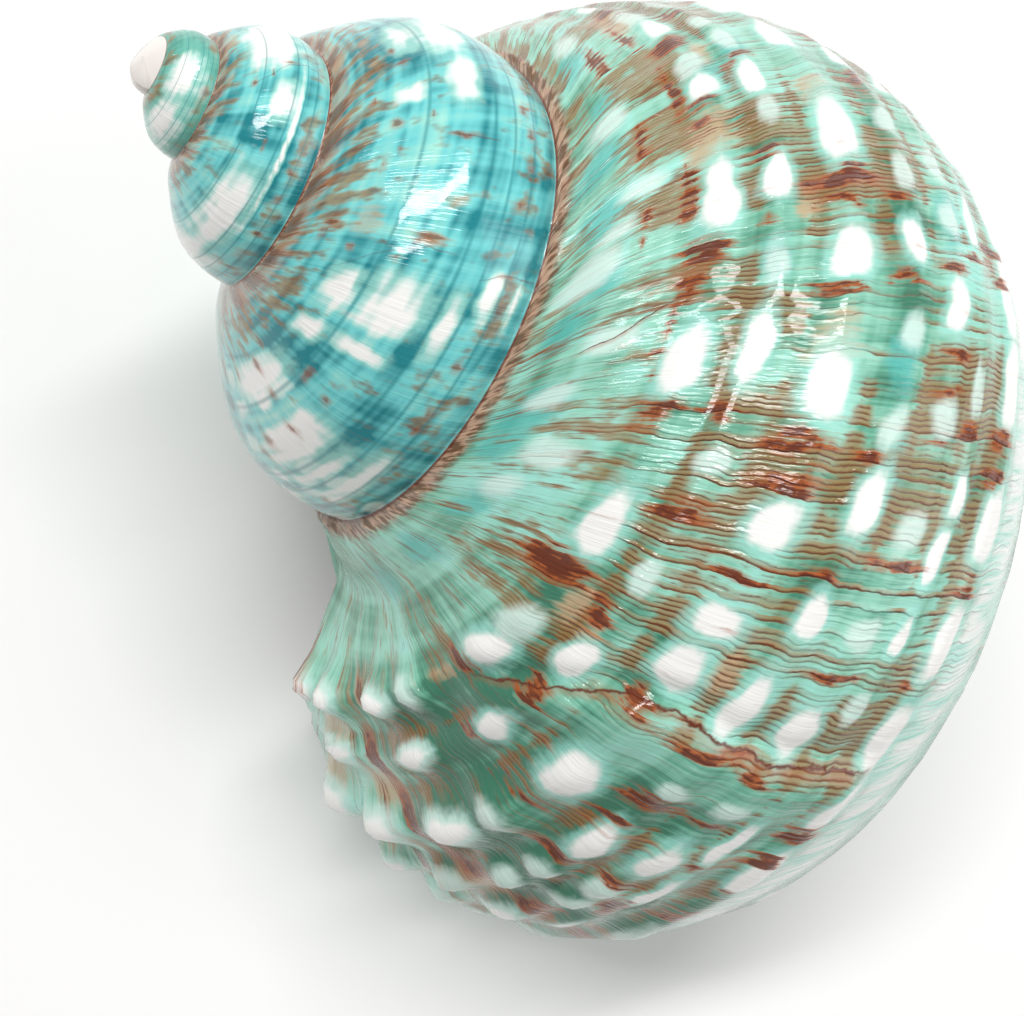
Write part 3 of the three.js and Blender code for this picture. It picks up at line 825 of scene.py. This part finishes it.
def hollow_grid(bm, whorl, lip, start):
    """The rim and the hollow: a grid wound from the edge of the aperture inwards."""
    cross = np.concatenate([np.arange(CROSS_ROWS) / CROSS_ROWS,
                            1 + np.arange(BASE_ROWS) / BASE_ROWS * (whorl.end - 1)])
    back = 1 + np.arange(BASE_ROWS + 1)[::-1] / BASE_ROWS * (whorl.end - 1)
    theta = np.concatenate([np.full(len(cross), lip), np.full(len(back), start)])
    t = np.concatenate([cross, back])
    theta = recede(theta, t, lip)
    wall = np.concatenate([cross, np.ones(len(back))])
    edge = whorl.skin(theta, t)
    run = np.concatenate([[0], np.cumsum(np.linalg.norm(np.diff(edge, axis=0), axis=1))])
    corner = run[len(cross)]
    turn = 0.6
    share = np.where(run <= corner, turn * run / corner,
                     turn + (1 - turn) * (run - corner) / (run[-1] - corner))
    ahead = whorl.skin(theta + 1.0, t) - edge
    ahead /= np.maximum(np.linalg.norm(ahead, axis=1, keepdims=True), 1e-6)
    mouth = whorl.hollow(recede(np.full(len(t), lip), wall, lip), share, 1.0 + whorl.form.lip_flare)
    rings = []
    for weight in RIM_STEPS:
        bulge = math.sin(math.pi * weight) * whorl.form.lip_round
        rings.append(edge * (1 - weight) + mouth * weight + ahead * bulge)
    pearls = [smooth(np.array(w), 0.1, 0.9) for w in RIM_STEPS]
    for k in range(1, HOLLOW_RINGS + 1):
        back_by = HOLLOW_REACH * (k / HOLLOW_RINGS) ** 1.25
        flare = 1.0 + whorl.form.lip_flare * (1 - float(smooth(np.array(back_by), 0.0, 20.0)))
        rings.append(whorl.hollow(recede(np.full(len(t), lip - back_by), wall, lip), share, flare))
        pearls.append(1.0)
    rings.append(np.repeat(rings[-1].mean(0, keepdims=True), len(edge), 0))
    pearls.append(1.0)

    around, deep = len(edge) - 1, len(rings) - 1
    part = new_part()
    bmesh.ops.create_grid(part, x_segments=around, y_segments=deep, size=1.0)
    growth = part.loops.layers.uv["growth"]
    pearl = part.verts.layers.float["pearl"]
    part.verts.index_update()
    spots = [(int(round((vert.co.x + 1.0) / 2.0 * around)),
              int(round((vert.co.y + 1.0) / 2.0 * deep))) for vert in part.verts]
    for face in part.faces:
        for loop in face.loops:
            i, k = spots[loop.vert.index]
            loop[growth].uv = ((theta[i] - 0.2 * k) / 360.0, t[i])
    for vert, (i, k) in zip(part.verts, spots):
        vert.co = rings[k][i]
        vert[pearl] = float(pearls[k])
    join_part(bm, part)


def size_property(name, description, default):
    """A number that can be changed in the sidebar."""
    return bpy.props.FloatProperty(name=name, description=description, default=default)


class TurbanForm(bpy.types.PropertyGroup):
    """Sizes of the shell."""

    turn_factor: bpy.props.FloatProperty(
        name="Turn factor", description="How much larger each turn is than the last",
        default=TURN_FACTOR, min=1.5, max=3.0)
    lip_angle: size_property(
        "Lip angle", "Growth angle in degrees where the lip leaves the suture", 138.0)
    suture_radius: size_property("Suture radius", "Distance of the suture from the axis in mm", 17.4)
    suture_depth: size_property("Suture depth", "Depth of the suture below the apex in mm", 27.4)
    ramp_hollow: size_property("Ramp hollow", "How far the ramp sinks in towards the lip, in mm", 2.6)
    cord_height: size_property("Cord height", "Height of the spiral cords in mm", 0.6)
    nodule_height: size_property("Nodule height", "Share of the full nodule height", 1.3)
    growth_ridges: size_property("Growth ridges", "Height of the growth ridges in mm", 0.16)
    lip_flare: size_property("Lip flare", "How far the hollow widens at the lip", 0.08)
    lip_round: size_property("Lip rounding", "How far the rim stands out in mm", 0.5)


def colour_property(name, description, code):
    """A colour that can be changed in the sidebar."""
    return bpy.props.FloatVectorProperty(
        name=name, description=description, default=rgb(code), subtype="COLOR", size=3,
        min=0.0, max=1.0)


class TurbanColours(bpy.types.PropertyGroup):
    """Colours and polish of the shell."""

    spire: colour_property("Spire", "Turquoise of the upper whorls", "#72d0d0")
    spire_deep: colour_property("Spire, deep", "Darker sea green of the upper whorls", "#1d828a")
    body: colour_property("Body", "Green of the body whorl", "#97d3bd")
    body_deep: colour_property("Body, deep", "Darker green of the body whorl", "#69ab92")
    body_dark: colour_property("Body, dark", "Darkest green of the growth lines", "#417c64")
    mint: colour_property("Mint", "Pale green round the blotches", "#a2e2d4")
    chalk: colour_property("Chalk", "White of the blotches", "#f6f5f1")
    frost: colour_property("Frost", "Pale blotches", "#d9efe6")
    cream: colour_property("Cream", "Cream at the sutures and the tip", "#cb9c82")
    sand: colour_property("Sand", "Sandy patches", "#c9a884")
    blue: colour_property("Blue", "Turquoise patches of the body whorl", "#58bdb6")
    olive: colour_property("Olive", "Olive brown between the growth lines", "#9c6f36")
    bark: colour_property("Bark", "Brown of the growth lines", "#713f22")
    rust: colour_property("Rust", "Orange brown of the markings", "#a9592b")
    umber: colour_property("Umber", "Dark red brown of the markings", "#652a19")
    pearl: colour_property("Pearl", "Nacre of the hollow", "#e9e6de")
    pearl_rose: colour_property("Pearl, warm", "Warm sheen of the nacre", "#e2d2c8")
    spire_gloss: size_property("Spire roughness", "Roughness of the polished spire", 0.12)
    body_gloss: size_property("Body roughness", "Roughness of the body whorl", 0.13)


class TurbanStage(bpy.types.PropertyGroup):
    """Light and floor."""

    floor: colour_property("Floor", "Pale floor", "#fbfaf8")
    key_power: bpy.props.FloatProperty(
        name="Key light", description="Power of the main light", default=2.45, unit="POWER")
    fill_power: bpy.props.FloatProperty(
        name="Fill light", description="Power of the side light", default=0.5, unit="POWER")
    sky: size_property("Sky", "Strength of the even light all round", 0.3)


class SHELL_OT_grow(bpy.types.Operator):
    """Grow the shell and paint it"""

    bl_idname = "shell.grow"
    bl_label = "Grow shell"

    def execute(self, context):
        form = context.scene.turban_form
        whorl = Whorl(form)
        bm = new_part()
        lip = form.lip_angle
        lag = LEAN_EVEN + LEAN_RAMP
        base_start = lip - 360.0 + lag
        lap = 360.0 - lag
        tip_step, spire_step, body_step = COLUMN_STEPS
        grown_grid(bm, whorl, FIRST_ANGLE, SPIRE_ANGLE, tip_step, 0.0, 1.0, CROSS_ROWS,
                   SPIRE_ANGLE - lap)
        grown_grid(bm, whorl, SPIRE_ANGLE, BODY_ANGLE, spire_step, 0.0, 1.0, CROSS_ROWS,
                   BODY_ANGLE - lap)
        grown_grid(bm, whorl, BODY_ANGLE, lip, body_step, 0.0, 1.0, CROSS_ROWS, lip)
        grown_grid(bm, whorl, base_start, lip, body_step, 1.0, whorl.end, BASE_ROWS, lip)
        hollow_grid(bm, whorl, lip, base_start)
        bmesh.ops.remove_doubles(bm, verts=bm.verts, dist=WELD)
        self.close_tip(bm)
        bmesh.ops.recalc_face_normals(bm, faces=bm.faces)
        self.lay_down(bm)
        open_edges = sum(1 for e in bm.edges if len(e.link_faces) != 2)
        if open_edges:
            raise RuntimeError(f"the shell has {open_edges} open edges")
        mesh = bpy.data.meshes.new("turban_shell")
        bm.to_mesh(mesh)
        bm.free()
        mesh.shade_smooth()
        self.mark(mesh)
        mesh.materials.append(paint_shell(context.scene.turban_colours))
        shell = bpy.data.objects.new("turban_shell", mesh)
        context.collection.objects.link(shell)
        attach(shell, "root")
        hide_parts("shell")
        return {"FINISHED"}

    def close_tip(self, bm):
        """Caps the first whorl with a low worn dome."""
        rim = [e for e in bm.edges if len(e.link_faces) == 1]
        bmesh.ops.holes_fill(bm, edges=rim, sides=0)
        bm.faces.ensure_lookup_table()
        caps = [f for f in bm.faces if len(f.verts) > 6]
        growth = bm.loops.layers.uv["growth"]
        poked = bmesh.ops.poke(bm, faces=caps)
        for f in poked["faces"]:
            for loop in f.loops:
                loop[growth].uv = (FIRST_ANGLE / 360.0, 0.5)
        for vert in poked["verts"]:
            vert.co.z += TIP_RISE

    def lay_down(self, bm):
        """Turns the shell onto its aperture and wears its resting points flat."""
        x, y, z = (math.radians(a) for a in REST_TURNS)
        turn = Matrix.Rotation(x, 4, "X") @ Matrix.Rotation(y, 4, "Y") @ Matrix.Rotation(z, 4, "Z")
        move = Matrix.Translation(Vector(APEX_AT)) @ turn
        bmesh.ops.transform(bm, matrix=Matrix.Scale(MM, 4) @ move, verts=bm.verts)
        for vert in bm.verts:
            vert.co.z = max(vert.co.z, 0.0)

    def mark(self, mesh):
        """Stores where the markings lie, for the paint."""
        flat = np.empty(len(mesh.loops) * 2, np.float32)
        mesh.uv_layers["growth"].data.foreach_get("uv", flat)
        theta = flat[0::2].astype(float) * 360.0
        t = flat[1::2].astype(float)
        for name, values in marking_fields(theta, t).items():
            layer = mesh.attributes.new(name, "FLOAT", "CORNER")
            layer.data.foreach_set("value", values.astype(np.float32))


class SHELL_OT_stage(bpy.types.Operator):
    """Set up the floor, the lights and the camera"""

    bl_idname = "shell.stage"
    bl_label = "Set the stage"

    def execute(self, context):
        stage = context.scene.turban_stage
        self.floor(context, stage)
        self.light(context, "key", *KEY_LIGHT, stage.key_power)
        self.light(context, "fill", *FILL_LIGHT, stage.fill_power)
        world = bpy.data.worlds.new("studio")
        world.use_nodes = True
        sky = world.node_tree.nodes["Background"]
        sky.inputs["Color"].default_value = (1.0, 1.0, 1.0, 1.0)
        sky.inputs["Strength"].default_value = stage.sky
        context.scene.world = world
        context.scene.view_settings.view_transform = "Standard"
        self.camera(context)
        return {"FINISHED"}

    def floor(self, context, stage):
        bm = bmesh.new()
        bmesh.ops.create_grid(bm, x_segments=1, y_segments=1, size=FLOOR_HALF)
        mesh = bpy.data.meshes.new("floor")
        bm.to_mesh(mesh)
        bm.free()
        paint = Paint("floor")
        shader = paint.node("ShaderNodeBsdfPrincipled", {}, {
            "Base Color": tuple(stage.floor), "Roughness": 0.7})
        paint.node("ShaderNodeOutputMaterial", {}, {"Surface": shader})
        mesh.materials.append(paint.material)
        floor = bpy.data.objects.new("floor", mesh)
        context.collection.objects.link(floor)

    def light(self, context, name, place, size, power):
        lamp = bpy.data.lights.new(name, "AREA")
        lamp.energy = power
        lamp.shape = "RECTANGLE"
        lamp.size, lamp.size_y = size
        lit = bpy.data.objects.new(name, lamp)
        lit.location = place
        aim = Vector(LIGHT_AIM) - Vector(place)
        lit.rotation_euler = aim.to_track_quat("-Z", "Y").to_euler()
        context.collection.objects.link(lit)

    def camera(self, context):
        lens = bpy.data.cameras.new("camera")
        lens.sensor_width = SENSOR_WIDTH
        lens.lens = CAMERA_LENS
        lens.clip_start = CAMERA_NEAR
        eye = bpy.data.objects.new("camera", lens)
        eye.location = [part * MM for part in CAMERA_AT]
        eye.rotation_euler = [math.radians(turn) for turn in CAMERA_TURNS]
        context.collection.objects.link(eye)
        context.scene.camera = eye


class SHELL_PT_panel(bpy.types.Panel):
    """Sidebar with the shell's settings"""

    bl_idname = "SHELL_PT_panel"
    bl_label = "Turban shell"
    bl_space_type = "VIEW_3D"
    bl_region_type = "UI"
    bl_category = "Shell"

    def draw(self, context):
        for group in ("turban_form", "turban_colours", "turban_stage"):
            settings = getattr(context.scene, group)
            box = self.layout.box()
            for name in settings.__annotations__:
                box.prop(settings, name)
        self.layout.operator("shell.grow")
        self.layout.operator("shell.stage")


CLASSES = (TurbanForm, TurbanColours, TurbanStage, SHELL_OT_grow, SHELL_OT_stage, SHELL_PT_panel)


def register():
    for item in CLASSES:
        bpy.utils.register_class(item)
    bpy.types.Scene.turban_form = bpy.props.PointerProperty(type=TurbanForm)
    bpy.types.Scene.turban_colours = bpy.props.PointerProperty(type=TurbanColours)
    bpy.types.Scene.turban_stage = bpy.props.PointerProperty(type=TurbanStage)


def unregister():
    del bpy.types.Scene.turban_stage
    del bpy.types.Scene.turban_colours
    del bpy.types.Scene.turban_form
    for item in reversed(CLASSES):
        bpy.utils.unregister_class(item)


def main():
    register()
    bpy.ops.shell.grow()
    bpy.ops.shell.stage()


if __name__ == "__main__":
    main()
